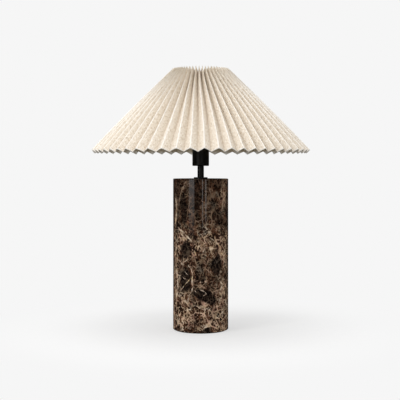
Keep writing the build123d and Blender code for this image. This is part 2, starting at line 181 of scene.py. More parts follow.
def makeGround(settings):
    shape = bmesh.new()
    bmesh.ops.create_grid(shape, x_segments=1, y_segments=1, size=settings["groundHalfSide"])
    mesh = meshFrom(shape, "ground")
    ground = placeOnStage("ground", mesh)
    material, tree = startMaterial("matteStudioPaper")  # seamless paper: dull white that takes a soft shadow
    place = addNode(tree, "ShaderNodeTexCoord")
    distance = addNode(
        tree, "ShaderNodeVectorMath", {"operation": "LENGTH"}, links={0: place.outputs["Object"]},
    )
    fade = addNode(
        tree, "ShaderNodeMapRange", {"interpolation_type": "SMOOTHSTEP"},
        {"From Min": settings["fadeStart"], "From Max": settings["fadeEnd"], "To Min": settings["leastFade"]},
        {"Value": distance.outputs["Value"]},
    )
    rays = addNode(tree, "ShaderNodeLightPath")
    seen = isAny(tree, rays, "Is Camera Ray", "Is Transmission Ray")
    tint = addNode(
        tree, "ShaderNodeMix", {"data_type": "RGBA"},
        {6: hexToLinear(settings["paperGlow"]), 7: hexToLinear(settings["paperSeen"])},
        {0: seen},
    )
    paper = addNode(tree, "ShaderNodeBsdfDiffuse", links={"Color": tint.outputs[2]})
    pale = addNode(tree, "ShaderNodeEmission", values={"Color": hexToLinear(settings["background"])})
    room = addNode(tree, "ShaderNodeEmission", values={"Color": hexToLinear(settings["room"])})
    share = addNode(
        tree, "ShaderNodeMath", {"operation": "MULTIPLY"}, links={0: seen, 1: fade.outputs["Result"]},
    )
    faded = addNode(
        tree, "ShaderNodeMixShader", links={0: share.outputs[0], 1: paper.outputs[0], 2: pale.outputs[0]},
    )
    mirrored = addNode(
        tree, "ShaderNodeMixShader",
        links={0: rays.outputs["Is Glossy Ray"], 1: faded.outputs[0], 2: room.outputs[0]},
    )
    addNode(tree, "ShaderNodeOutputMaterial", links={"Surface": mirrored.outputs[0]})
    mesh.materials.append(material)


def makeWorld(settings):
    world = bpy.data.worlds.new("studioWorld")
    bpy.context.scene.world = world
    world.use_nodes = True
    tree = world.node_tree
    tree.nodes.clear()
    rays = addNode(tree, "ShaderNodeLightPath")
    seen = isAny(tree, rays, "Is Camera Ray", "Is Transmission Ray")
    soft = addNode(
        tree, "ShaderNodeBackground", values={"Color": (1, 1, 1, 1), "Strength": settings["ambient"]},
    )
    room = addNode(tree, "ShaderNodeBackground", values={"Color": hexToLinear(settings["room"])})
    pale = addNode(tree, "ShaderNodeBackground", values={"Color": hexToLinear(settings["background"])})
    mirrored = addNode(
        tree, "ShaderNodeMixShader",
        links={0: rays.outputs["Is Glossy Ray"], 1: soft.outputs[0], 2: room.outputs[0]},
    )
    mix = addNode(tree, "ShaderNodeMixShader", links={0: seen, 1: mirrored.outputs[0], 2: pale.outputs[0]})
    addNode(tree, "ShaderNodeOutputWorld", links={"Surface": mix.outputs[0]})


def hangLamp(name, size, watts, place, aim, rise=None):
    data = bpy.data.lights.new(name, "AREA")
    data.shape = "RECTANGLE"
    data.size, data.size_y = size
    data.energy = watts
    if rise:
        # the panel dims towards its lower edge
        data.use_nodes = True
        tree = data.node_tree
        spot = addNode(tree, "ShaderNodeNewGeometry")
        split = addNode(tree, "ShaderNodeSeparateXYZ", links={0: spot.outputs["Parametric"]})
        glow = addNode(
            tree, "ShaderNodeMapRange", {"interpolation_type": "SMOOTHSTEP"}, {"From Max": rise},
            {"Value": split.outputs["Y"]},
        )
        tree.links.new(glow.outputs["Result"], tree.nodes["Emission"].inputs["Strength"])
    lamp = bpy.data.objects.new(name, data)
    lamp.location = place
    lamp.rotation_euler = (Vector(aim) - Vector(place)).to_track_quat("-Z", "Y").to_euler()
    lamp.visible_camera = False
    bpy.context.scene.collection.objects.link(lamp)


def makeLamps(uprightOnes, highOnes, aimHeight):
    for lamp in uprightOnes:
        turn = math.radians(lamp["azimuth"])
        middle = lamp["low"] + lamp["size"][1] / 2
        place = (lamp["distance"] * math.sin(turn), -lamp["distance"] * math.cos(turn), middle)
        # each panel stands upright, facing the column
        hangLamp(lamp["name"], lamp["size"], lamp["watts"], place, (0, 0, middle), lamp.get("rise"))
    for lamp in highOnes:
        hangLamp(lamp["name"], lamp["size"], lamp["watts"], lamp["place"], (0, 0, aimHeight))


makeGround(studio)
makeWorld(studio)
makeLamps(panels, highLamps, studio["shadeMiddle"])
bpy.context.scene.view_settings.view_transform = "Standard"
print("studio lit")


# Marble: dark brown stone broken into clasts, healed by a web of pale calcite, and polished

marble = {
    "columnRadius": 60.0,  # mm, like the placed spots and veins below
    "columnHeight": 0.328,
    "groundMass": [
        (0.1, "#0C0604"), (0.36, "#1D0F08"), (0.55, "#362216"), (0.72, "#523626"), (1.0, "#7A5841"),
    ],
    "calcite": [(0.34, "#BC917B"), (0.45, "#E0BEA3"), (0.55, "#C4A685"), (0.66, "#F2DBC2")],
    "creamVein": [(0.38, "#E3C597"), (0.5, "#E4D2BE"), (0.62, "#D6B299")],
    "clastTint": "#0D0909",
    "clastShare": 0.85,  # of the tint in a clast
    "clastQuiet": 0.84,  # share of the web that a clast hides
    "broadBends": [(0.045, 0.012)],  # size and reach of each bending
    "fineBends": [(0.011, 0.0020), (0.004, 0.0006)],
    "veinBends": [(0.012, 0.0040), (0.0055, 0.0024)],
    "stretch": 0.8,  # the web runs a little longer up the column than across it
    "clastBends": [(0.022, 0.016), (0.007, 0.0036)],
    "webs": [
        # cell size, share of a cell that is vein, strength, size of the gaps in the web
        {"cell": 0.0062, "vein": 0.125, "strength": 0.6, "gaps": 0.008},
        {"cell": 0.0110, "vein": 0.100, "strength": 0.95, "gaps": 0.012},
        {"cell": 0.0260, "vein": 0.048, "strength": 1.0, "gaps": 0.022},
    ],
    "veinCore": 0.3,  # share of a vein's width that has its full strength
    # share of the web that shows at each height, as a share of the column's
    "busy": [
        (0.02, 0.95), (0.19, 0.95), (0.26, 0.5), (0.46, 0.5),
        (0.56, 0.8), (0.64, 0.6), (0.72, 0.25), (1.0, 0.2),
    ],
    # noises: size, detail and roughness, the levels between which each one changes, and to what
    "strewnClasts": {"size": 0.045, "detail": 2.0, "levels": (0.56, 0.62), "to": (0.0, 0.9)},
    "patchyGain": {"size": 0.030, "levels": (0.38, 0.60), "to": (0.55, 1.25)},
    "webGaps": {"detail": 2.0, "levels": (0.46, 0.56)},
    "grains": {"size": 0.0034, "detail": 2.0, "roughness": 0.5, "levels": (0.62, 0.70), "to": (0.0, 0.85)},
    "patches": {"size": 0.010, "detail": 4.0, "roughness": 0.7, "levels": (0.50, 0.60), "to": (0.0, 0.9)},
    "cloud": {"size": 0.020, "detail": 5.0, "roughness": 0.65, "levels": (0.3, 0.7)},
    "speck": {"size": 0.0042, "detail": 2.0, "roughness": 0.6, "levels": (0.35, 0.65)},
    "brokenCream": {"size": 0.0055, "roughness": 0.6, "levels": (0.34, 0.54), "to": (0.2, 1.0)},
    "hueSize": 0.016,
    "backZone": (-0.035, -0.005),  # y where the strewn clasts come in, behind the placed ones
    "shardSize": 0.0085,
    "toneShares": {"shard": 0.25, "cloud": 0.35, "speck": 0.3, "gain": 0.12},
    # placed spots are lenses under the surface: half their depth, and how wide each kind fades at its edge
    "lensDepth": 0.026,
    "clastEdge": 0.3,
    "crushedEdge": 0.8,
    "veinEdge": 0.75,
    "veinReach": 0.62,  # half length of a vein's lens, as a share of its run
    # placed zones of the front, in mm: x and z of the middle, half sizes along and across, lean
    "crushed": [
        {"at": (14, 190), "half": (42, 15), "lean": 14, "strength": 0.5},
        {"at": (46, 165), "half": (38, 10), "lean": 78, "strength": 0.75},
        {"at": (-53, 120), "half": (70, 8), "lean": 90, "strength": 0.8},
        {"at": (49, 90), "half": (40, 11), "lean": 90, "strength": 1.0},
        {"at": (-37, 201), "half": (15, 7), "lean": 40, "strength": 0.9},
        {"at": (-36, 312), "half": (14, 5), "lean": -64, "strength": 0.8},
        {"at": (-53, 250), "half": (45, 4), "lean": 93, "strength": 0.5},
        {"at": (-17, 61), "half": (14, 7), "lean": 20, "strength": 0.6},
        {"at": (33, 50), "half": (12, 8), "lean": -40, "strength": 0.8},
        {"at": (48, 290), "half": (50, 12), "lean": 90, "strength": 0.6},
    ],
    "dark": [
        {"at": (-32, 177), "half": (22, 12.5), "lean": 90, "strength": 1.0},
        {"at": (-33, 111), "half": (29, 14), "lean": 90, "strength": 1.0},
        {"at": (9, 80), "half": (34, 17), "lean": 28, "strength": 1.0},
        {"at": (34, 146), "half": (26, 13), "lean": 90, "strength": 1.0},
        {"at": (-2, 127), "half": (20, 13), "lean": 80, "strength": 0.6},
        {"at": (15, 6), "half": (14, 5), "lean": 0, "strength": 1.0},
        {"at": (-36, 264), "half": (40, 10), "lean": 86, "strength": 0.85},
        {"at": (-8, 290), "half": (46, 10), "lean": 90, "strength": 0.6},
        {"at": (38, 245), "half": (22, 12), "lean": 80, "strength": 0.6},
    ],
    # placed veins of the front, in mm: half width, then the points that the vein runs through
    "veins": [
        (2.6, [(-50, 225), (-34, 211), (-18, 195)]),
        (1.2, [(-44, 212), (-30, 200)]),
        (1.6, [(-21, 140), (-17, 123), (-19, 114), (-17, 99), (-19, 89)]),
        (2.2, [(-18, 118), (-17, 104)]),
        (0.9, [(-19, 89), (-26, 80), (-28, 64)]),
        (0.9, [(-43, 90), (-34, 102), (-21, 118)]),
        (0.8, [(-39, 119), (-31, 115)]),
        (0.6, [(-37, 133), (-25, 122)]),
        (1.5, [(-49, 156), (-40, 149), (-27, 156)]),
        (3.2, [(-42, 149), (-36, 145)]),
        (1.3, [(-28, 146), (-23, 139)]),
        (1.0, [(-13, 177), (-10, 165)]),
        (1.0, [(-13, 93), (-9, 87)]),
        (1.1, [(-3, 94), (9, 89), (12, 85), (4, 80)]),
        (0.8, [(34, 123), (36, 113), (44, 119)]),
        (2.0, [(41, 111), (47, 101), (40, 88), (45, 76), (41, 69)]),
        (1.8, [(41, 182), (42, 171), (50, 162), (52, 147)]),
        (1.5, [(4, 172), (9, 182), (20, 183)]),
        (1.2, [(18, 204), (30, 196), (44, 181)]),
        (2.4, [(-52, 137), (-50, 114), (-49, 89), (-53, 70)]),
        (1.2, [(-46, 37), (-47, 13)]),
        (1.0, [(-16, 61), (1, 54), (12, 48), (21, 50)]),
        (2.2, [(-2.5, 108), (1, 110)]),
        (2.2, [(9, 110), (12.5, 112)]),
        (1.6, [(-54, 296), (-52, 260), (-54, 230)]),
        (0.5, [(-48, 275), (-42, 300), (-30, 325)]),
    ],
    "roughness": (0.055, 0.085),
}


def bendPlace(tree, place, size, reach):
    cloud = addNode(tree, "ShaderNodeTexNoise", None, {"Scale": 1 / size, "Detail": 2.0}, {"Vector": place})
    centred = addNode(
        tree, "ShaderNodeVectorMath", {"operation": "SUBTRACT"}, {1: (0.5, 0.5, 0.5)},
        {0: cloud.outputs["Color"]},
    )
    return addNode(
        tree, "ShaderNodeVectorMath", {"operation": "MULTIPLY_ADD"}, {1: (reach, reach, reach)},
        {0: centred.outputs["Vector"], 2: place},
    ).outputs["Vector"]


def mathOf(tree, operation, first, second, third=None):
    # a sum, product or the like of two or three values, each a number or a socket
    node = addNode(tree, "ShaderNodeMath", {"operation": operation})
    for socket, source in enumerate((first, second, third)):
        if isinstance(source, (int, float)):
            node.inputs[socket].default_value = source
        elif source is not None:
            tree.links.new(source, node.inputs[socket])
    return node.outputs[0]


def rangeOf(tree, value, low, high, toLow=0.0, toHigh=1.0, smooth=True):
    kind = "SMOOTHSTEP" if smooth else "LINEAR"
    return addNode(
        tree, "ShaderNodeMapRange", {"interpolation_type": kind},
        {"From Min": low, "From Max": high, "To Min": toLow, "To Max": toHigh}, {"Value": value},
    ).outputs["Result"]


def noiseOf(tree, place, size, detail=3.0, roughness=0.55):
    return addNode(
        tree, "ShaderNodeTexNoise", None,
        {"Scale": 1 / size, "Detail": detail, "Roughness": roughness}, {"Vector": place},
    ).outputs["Fac"]


def noiseBand(tree, place, band):
    noise = noiseOf(tree, place, band["size"], band.get("detail", 3.0), band.get("roughness", 0.55))
    return rangeOf(tree, noise, *band["levels"], *band.get("to", (0.0, 1.0)))


def lensSpot(tree, place, settings, at, half, lean, strength, edge):
    # full strength inside a long lens of stone under the surface, fading to 0 at its edge
    radius = settings["columnRadius"]
    depth = math.sqrt(radius ** 2 - min(abs(at[0]), radius) ** 2)
    local = addNode(
        tree, "ShaderNodeMapping", {"vector_type": "TEXTURE"},
        {
            "Location": (at[0] / 1000, -depth / 1000, at[1] / 1000),
            "Rotation": (0, math.radians(lean), 0),
            "Scale": (half[0] / 1000, settings["lensDepth"], half[1] / 1000),
        },
        {"Vector": place},
    )
    reach = addNode(
        tree, "ShaderNodeVectorMath", {"operation": "LENGTH"}, links={0: local.outputs["Vector"]},
    )
    return rangeOf(tree, reach.outputs["Value"], 1.0, 1.0 - edge, 0.0, strength)


def mostOf(tree, values):
    # each value is made just before it is compared, because the shader holds few values at once
    most = 0.0
    for value in values:
        most = mathOf(tree, "MAXIMUM", value, most)
    return most


def placedSpots(tree, place, settings, spots, edge):
    return mostOf(tree, (
        lensSpot(tree, place, settings, spot["at"], spot["half"], spot["lean"], spot["strength"], edge)
        for spot in spots
    ))


def placedVein(tree, place, settings, halfWidth, points):
    def runFrom(start, end):
        across, down = end[0] - start[0], start[1] - end[1]
        middle = ((start[0] + end[0]) / 2, (start[1] + end[1]) / 2)
        half = (settings["veinReach"] * math.hypot(across, down), halfWidth)
        lean = math.degrees(math.atan2(down, across))
        return lensSpot(tree, place, settings, middle, half, lean, 1.0, settings["veinEdge"])

    return mostOf(tree, (runFrom(start, end) for start, end in zip(points, points[1:])))


def colourOf(tree, value, stops):
    ramp = addNode(tree, "ShaderNodeValToRGB", links={"Fac": value})
    rampStops(ramp, stops)
    return ramp.outputs["Color"]


def blendOf(tree, share, low, high):
    # mixes two colours, each a socket or a hex code
    node = addNode(tree, "ShaderNodeMix", {"data_type": "RGBA"}, links={0: share})
    for socket, colour in ((6, low), (7, high)):
        if isinstance(colour, str):
            node.inputs[socket].default_value = hexToLinear(colour)
        else:
            tree.links.new(colour, node.inputs[socket])
    return node.outputs[2]


def polishedMarble(settings):
    # dark marble: near black clasts, tan and cream veins, and a deep polish that mirrors the lamps
    material, tree = startMaterial("polishedMarble")
    place = addNode(tree, "ShaderNodeTexCoord").outputs["Object"]
    swayed = place
    for size, reach in settings["broadBends"]:
        swayed = bendPlace(tree, swayed, size, reach)
    crumpled = addNode(
        tree, "ShaderNodeMapping", values={"Scale": (1, 1, settings["stretch"])}, links={"Vector": swayed},
    ).outputs["Vector"]
    for size, reach in settings["fineBends"]:
        crumpled = bendPlace(tree, crumpled, size, reach)
    ragged = place
    for size, reach in settings["veinBends"]:
        ragged = bendPlace(tree, ragged, size, reach)
    torn = place
    for size, reach in settings["clastBends"]:
        torn = bendPlace(tree, torn, size, reach)

    # clasts: placed ones in front, and others from a broad noise behind them
    darkness = placedSpots(tree, torn, settings, settings["dark"], settings["clastEdge"])
    strewn = noiseBand(tree, swayed, settings["strewnClasts"])
    split = addNode(tree, "ShaderNodeSeparateXYZ", links={0: place})
    behind = rangeOf(tree, split.outputs["Y"], *settings["backZone"])
    darkness = mathOf(tree, "MAXIMUM", darkness, mathOf(tree, "MULTIPLY", strewn, behind))

    # gain: how much of the web shows
    height = addNode(tree, "ShaderNodeSeparateXYZ", links={0: torn}).outputs["Z"]
    upColumn = rangeOf(tree, height, 0.0, settings["columnHeight"], 0.0, 1.0, False)
    busy = colourOf(tree, upColumn, settings["busy"])
    crushed = placedSpots(tree, ragged, settings, settings["crushed"], settings["crushedEdge"])
    patchy = noiseBand(tree, swayed, settings["patchyGain"])
    gain = mathOf(tree, "MULTIPLY", mathOf(tree, "ADD", busy, crushed), patchy)
    outside = mathOf(tree, "MULTIPLY_ADD", darkness, -settings["clastQuiet"], 1.0)
    gain = mathOf(tree, "MULTIPLY", gain, outside)

    lines = []
    for web in settings["webs"]:
        cells = addNode(
            tree, "ShaderNodeTexVoronoi", {"feature": "DISTANCE_TO_EDGE"},
            {"Scale": 1 / web["cell"]}, {"Vector": crumpled},
        )
        core = settings["veinCore"] * web["vein"]
        line = rangeOf(tree, cells.outputs["Distance"], web["vein"], core, 0.0, web["strength"])
        gaps = noiseBand(tree, ragged, {**settings["webGaps"], "size": web["gaps"]})
        lines.append(mathOf(tree, "MULTIPLY", line, gaps))
    veins = mathOf(tree, "MULTIPLY", mostOf(tree, lines), gain)
    # grains of calcite all through, and patches of it in the crushed stone
    grains = noiseBand(tree, crumpled, settings["grains"])
    veins = mathOf(tree, "MAXIMUM", veins, mathOf(tree, "MULTIPLY", grains, gain))
    patches = noiseBand(tree, crumpled, settings["patches"])
    veins = mathOf(tree, "MAXIMUM", veins, mathOf(tree, "MULTIPLY", patches, crushed))

    # the ground mass changes from shard to shard
    shares = settings["toneShares"]
    shards = addNode(
        tree, "ShaderNodeTexVoronoi", values={"Scale": 1 / settings["shardSize"]}, links={"Vector": crumpled},
    )
    shardTone = addNode(tree, "ShaderNodeSeparateColor", links={0: shards.outputs["Color"]}).outputs[0]
    cloud = noiseBand(tree, swayed, settings["cloud"])
    speck = noiseBand(tree, crumpled, settings["speck"])
    tone = mathOf(tree, "MULTIPLY", cloud, shares["cloud"])
    tone = mathOf(tree, "MULTIPLY_ADD", shardTone, shares["shard"], tone)
    tone = mathOf(tree, "MULTIPLY_ADD", speck, shares["speck"], tone)
    tone = mathOf(tree, "ADD", tone, mathOf(tree, "MULTIPLY", gain, shares["gain"]))
    base = colourOf(tree, tone, settings["groundMass"])
    deep = blendOf(
        tree, mathOf(tree, "MULTIPLY", darkness, settings["clastShare"]), base, settings["clastTint"],
    )
    hue = noiseOf(tree, ragged, settings["hueSize"], 3.0, 0.6)
    webbed = blendOf(tree, veins, deep, colourOf(tree, hue, settings["calcite"]))
    cream = mostOf(tree, (
        placedVein(tree, ragged, settings, width, points) for width, points in settings["veins"]
    ))
    broken = noiseBand(tree, ragged, settings["brokenCream"])
    cream = mathOf(tree, "MULTIPLY", cream, broken)
    surface = blendOf(tree, cream, webbed, colourOf(tree, hue, settings["creamVein"]))
    wax = rangeOf(tree, cloud, *settings["cloud"]["levels"], *settings["roughness"])
    finishMaterial(tree, {"IOR": 1.5}, {"Base Color": surface, "Roughness": wax})
    return material


def coat(node, material):
    # the node's solid wears this material alone
    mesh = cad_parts[node].data
    mesh.materials.clear()
    mesh.materials.append(material)


coat("marble_column", polishedMarble(marble))
print("marble veined")


# Materials of the smaller pieces: each mottled in colour, gloss and relief at its real grain

finishes = {
    "blackPowderCoat": {  # baked powder: even satin black with a faint orange peel
        "nodes": ["seat_washer", "neck_tube", "holder_cap"],
        "tints": ("#080808", "#0C0C0D"), "grain": 0.0014, "relief": 0.00003,
        "roughness": (0.34, 0.42),
    },
    "mouldedPhenolic": {  # pressed resin: glossier black, slightly cloudy
        "nodes": ["holder_sleeve", "shade_ring"],
        "tints": ("#09090A", "#0F0E0E"), "grain": 0.0030, "relief": 0.00002,
        "roughness": (0.22, 0.32),
    },
    "mouldedNylon": {  # dull black with a fine spark-eroded grain
        "nodes": ["cord_bush"],
        "tints": ("#0E0E0E", "#161616"), "grain": 0.0005, "relief": 0.00003,
        "roughness": (0.5, 0.6),
    },
    "zincPlate": {  # bright zinc: grey with a cloudy blue and yellow cast
        "nodes": ["clamp_washer", "lock_washer", "column_nut", "threaded_rod", "cap_lock_washer", "cap_nut"],
        "tints": ("#A9ADB0", "#C4C2B4"), "grain": 0.0040, "relief": 0.00002,
        "roughness": (0.28, 0.42), "metallic": 1.0,
    },
    "drawnBrass": {  # yellow metal with drawing marks along its length
        "nodes": ["terminal_screws", "centre_contact"],
        "tints": ("#A07C36", "#C6A152"), "grain": 0.0008, "relief": 0.00002,
        "roughness": (0.22, 0.36), "metallic": 1.0, "stretch": (0.15, 1.0, 1.0),
    },
    "nickelledBrass": {  # pale warm metal, spun, so the marks run round it
        "nodes": ["screw_shell"],
        "tints": ("#B9AE98", "#D3CBBB"), "grain": 0.0010, "relief": 0.00002,
        "roughness": (0.18, 0.30), "metallic": 1.0, "stretch": (0.3, 0.3, 2.0),
    },
    "glazedPorcelain": {  # white body under a clear glaze that pools a little
        "nodes": ["holder_core"],
        "tints": ("#E6E3DA", "#F0EEE8"), "grain": 0.0060, "relief": 0.00005,
        "roughness": (0.10, 0.18),
    },
    "ivoryPowderCoat": {  # pale powder on wire, satin with orange peel
        "nodes": ["fitter_plate", "fitter_arms", "lower_hoop", "upper_hoop", "frame_struts"],
        "tints": ("#CFC6B4", "#DDD5C5"), "grain": 0.0012, "relief": 0.00004,
        "roughness": (0.42, 0.52),
    },
    "opalGlass": {  # milky glass, smooth outside, light goes a little way in
        "nodes": ["bulb_globe"],
        "tints": ("#EFEDE6", "#F5F4EF"), "grain": 0.0120, "relief": 0.00001,
        "roughness": (0.12, 0.18), "subsurface": 0.3,
    },
    "blackGlass": {  # fused black glass, very glossy
        "nodes": ["bulb_insulator"],
        "tints": ("#07070A", "#0D0D12"), "grain": 0.0025, "relief": 0.00002,
        "roughness": (0.06, 0.12),
    },
    "solder": {  # dull tin, set in a lumpy dome
        "nodes": ["bulb_tip"],
        "tints": ("#8F8F8C", "#B4B3AE"), "grain": 0.0018, "relief": 0.00012,
        "roughness": (0.38, 0.55), "metallic": 1.0,
    },
    "pressedFelt": {  # grey wool fibres, no gloss at all
        "nodes": ["base_pad"],
        "tints": ("#1E1D1B", "#3A3834"), "grain": 0.0009, "relief": 0.00025,
        "roughness": (0.92, 1.0), "sheen": 0.3,
    },
    "rolledAluminium": {  # thin rolled sheet: pale, with fine lines round it
        "nodes": ["bulb_cap"],
        "tints": ("#B4B5B6", "#D0D0CE"), "grain": 0.0010, "relief": 0.00002,
        "roughness": (0.22, 0.34), "metallic": 1.0, "stretch": (0.3, 0.3, 3.0),
    },
}


# what the small finishes share: clouds much larger than the grain, and the relief of the grain
mottle = {
    "cloudSize": 6,  # in grains
    "levels": (0.35, 0.65),
    "bump": 0.6,
    "glassDepth": (0.004, 0.004, 0.003),  # how far light goes into opal glass
    "dullSpecular": 0.1,
}


def mottledFinish(name, settings):
    material, tree = startMaterial(name)
    place = addNode(tree, "ShaderNodeTexCoord").outputs["Object"]
    stretched = addNode(
        tree, "ShaderNodeMapping", values={"Scale": settings.get("stretch", (1, 1, 1))},
        links={"Vector": place},
    ).outputs["Vector"]
    grain = noiseOf(tree, stretched, settings["grain"], 3.0, 0.6)
    cloud = noiseOf(tree, stretched, settings["grain"] * mottle["cloudSize"], 2.0)
    tint = colourOf(tree, cloud, list(zip(mottle["levels"], settings["tints"])))
    gloss = rangeOf(tree, cloud, *mottle["levels"], *settings["roughness"])
    bump = addNode(
        tree, "ShaderNodeBump", values={"Strength": mottle["bump"], "Distance": settings["relief"]},
        links={"Height": grain},
    )
    values = {"Metallic": settings.get("metallic", 0.0)}
    if "subsurface" in settings:
        values["Subsurface Weight"] = settings["subsurface"]
        values["Subsurface Radius"] = mottle["glassDepth"]
    if "sheen" in settings:
        values["Sheen Weight"] = settings["sheen"]
        values["Specular IOR Level"] = mottle["dullSpecular"]
    finishMaterial(
        tree, values, {"Base Color": tint, "Roughness": gloss, "Normal": bump.outputs["Normal"]},
    )
    return material


for finishName, finish in finishes.items():
    finishMade = mottledFinish(finishName, finish)
    for nodeName in finish["nodes"]:
        coat(nodeName, finishMade)
print("small pieces finished")


# Pleated shade: a strip cut square, folded to and fro, and drawn into a cone

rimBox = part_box("back_cloth")
shade = {
    "pleats": 56,
    "firstRidge": 0.8,  # degrees from +X, as the frame's shade
    "rise": 0.1775,
    "crownHeight": rimBox[1][2],
    "rimRadius": rimBox[1][1],
    "crownRadius": 0.0615,
    "pleatWidth": 0.0171,
    "cloth": 0.0007,
    "slantSteps": 40,
    "flatSteps": 10,
    "rowPower": 1.25,  # draws the rows of the mesh towards the rim
    "bunching": 0.13,  # draws the columns of the mesh towards the creases
    "creaseRound": 0.006,
    "foldBow": 0.0016,  # the folds stand this much proud of straight between the hoops
    "foldBowPower": 0.85,
    "rimBow": 0.0004,  # and the flats this much at the loose lower rim
    "rimBowPower": 1.5,
    "driftAmount": 1.3,  # degrees: the pleats are drawn a little unevenly round the hoops
    "driftWaves": 4,
    "driftAt": 8.0,
    "crownLean": 2.5,  # degrees that the folds lean sideways on their way up
    "crownLeanWave": 3.0,
    "crownLeanAt": 15.0,
    "crownLeanPower": 2.5,
    "turnJitter": 0.22,
    "turnSteadied": 0.8,  # share of the jitter that the upper hoop takes out
    "depthJitter": 0.0007,
    "bulge": 0.0004,
    "lapShare": 0.85,  # of one flat, at the end of each length
    "lapInset": 0.0009,
    "lapEase": 6,  # the lap reaches its full inset over one sixth of a flat
    "seed": 11,
    "sharpFrom": 24,  # degrees between faces
    "shortWay": 0.01,  # share of the slant over which its direction is taken
    "rounding": 1e-6,
    "insideDrop": 0.1,  # the cloth faces away from a point this far below the rim's middle
    # painted highlight with wear, painted shade and painted rim light: each pair is the value at the rim and
    # its gain up to the crown
    "highlitAndRubbed": (0.75, 0.25),
    "highlightAndRubWidth": (0.12, 0.05),
    "shadedInValleys": (0.23, 0.20),
    "valleyShadePower": 1.9,
    "edgeHighlitAndRubbed": 0.8,
    "edgeHighlightAndRubFade": 0.015,
    "rimLightEdge": 2.4,
    "rimLightFade": 0.017,
    "rimLightFoldPower": 2,
}

linen = {
    "slubLength": 0.007,
    "slubWidth": 0.0015,
    "threadScale": 190.0,
    "threadRelief": 0.0002,
    "threadBump": 0.14,
    "threadColours": [(0.35, "#B7A68F"), (0.44, "#DCD0BF"), (0.55, "#E4DACB"), (0.64, "#F2ECE3")],
    # painted highlight with some wear on the outer folds
    "ridgeHighlightAndWearColour": "#FFFDF9",
    # painted shade in the inner folds
    "valleyShadeColour": "#8C7452",
    # the film is darker than the linen: its own greige colour, and partly painted shade for the inside of the
    # shade
    "filmTints": ("#B5A589", "#C2B296"),
    # painted rim light on the film near the lower rim
    "filmRimLitColour": "#F4F0E8",
    "glueSize": 0.006,
    "glueLevels": (0.35, 0.65),
    "filmGloss": (0.3, 0.7, 0.5, 0.65),  # levels of the glue, and the roughness at each
    "filmRelief": 0.0001,
    "filmBump": 0.4,
}


def linenOnFilm(settings, stripSize):
    # linen cloth bonded to a stiff film: dry, no gloss, uneven threads that show as flecks
    material, tree = startMaterial("linenOnFilm")
    place = addNode(tree, "ShaderNodeUVMap", {"uv_map": "flatStrip"})
    metres = addNode(
        tree, "ShaderNodeMapping", values={"Scale": stripSize}, links={"Vector": place.outputs["UV"]},
    ).outputs["Vector"]
    flecks = []
    warp = (1 / settings["slubLength"], 1 / settings["slubWidth"], 1.0)
    weft = (warp[1], warp[0], 1.0)
    for scale in (warp, weft):
        along = addNode(tree, "ShaderNodeMapping", values={"Scale": scale}, links={"Vector": metres})
        threads = addNode(
            tree, "ShaderNodeTexNoise", {"noise_dimensions": "2D"},
            {"Scale": 1.0, "Detail": 2.0, "Roughness": 0.6}, {"Vector": along.outputs["Vector"]},
        )
        flecks.append(threads.outputs["Fac"])
    threadTone = mathOf(tree, "MULTIPLY", mathOf(tree, "ADD", flecks[0], flecks[1]), 0.5)
    cloth = colourOf(tree, threadTone, settings["threadColours"])
    # outer folds are painted paler, a painted highlight with some wear; inner folds are painted darker, a
    # painted shade
    ridgeHighlightAndWear = addNode(tree, "ShaderNodeAttribute", {"attribute_name": "ridgeHighlightAndWear"}).outputs["Fac"]
    valleyShade = addNode(tree, "ShaderNodeAttribute", {"attribute_name": "valleyShade"}).outputs["Fac"]
    paledTint = blendOf(tree, ridgeHighlightAndWear, cloth, settings["ridgeHighlightAndWearColour"])
    valleyShaded = blendOf(tree, valleyShade, paledTint, settings["valleyShadeColour"])
    # plain weave in relief
    weave = threadTone
    for axis in ("X", "Y"):
        bands = addNode(
            tree, "ShaderNodeTexWave",
            {"wave_type": "BANDS", "bands_direction": axis, "wave_profile": "SIN"},
            {"Scale": settings["threadScale"], "Distortion": 1.2, "Detail": 1.0, "Detail Scale": 1.5},
            {"Vector": metres},
        )
        weave = mathOf(tree, "ADD", weave, bands.outputs["Fac"])
    bump = addNode(
        tree, "ShaderNodeBump",
        values={"Strength": settings["threadBump"], "Distance": settings["threadRelief"]},
        links={"Height": weave},
    )
    finishMaterial(
        tree,
        {"Roughness": 0.9, "Specular IOR Level": 0.15, "Sheen Weight": 0.08, "Sheen Roughness": 0.5},
        {"Base Color": valleyShaded, "Normal": bump.outputs["Normal"]},
    )
    return material


def backingFilm(settings):
    # greige film behind the linen: smooth, dull, a little mottled by the glue
    material, tree = startMaterial("backingFilm")
    place = addNode(tree, "ShaderNodeTexCoord").outputs["Object"]
    glue = noiseOf(tree, place, settings["glueSize"], 3.0)
    tint = colourOf(tree, glue, list(zip(settings["glueLevels"], settings["filmTints"])))
    # painted rim light: the film is paler at its folds near the lower rim
    paintedRimLight = addNode(tree, "ShaderNodeAttribute", {"attribute_name": "paintedRimLight"}).outputs["Fac"]
    paledTint = blendOf(tree, paintedRimLight, tint, settings["filmRimLitColour"])
    gloss = rangeOf(tree, glue, *settings["filmGloss"])
    bump = addNode(
        tree, "ShaderNodeBump", values={"Strength": settings["filmBump"], "Distance": settings["filmRelief"]},
        links={"Height": glue},
    )
    finishMaterial(
        tree, {"Specular IOR Level": 0.3},
        {"Base Color": paledTint, "Roughness": gloss, "Normal": bump.outputs["Normal"]},
    )
    return material


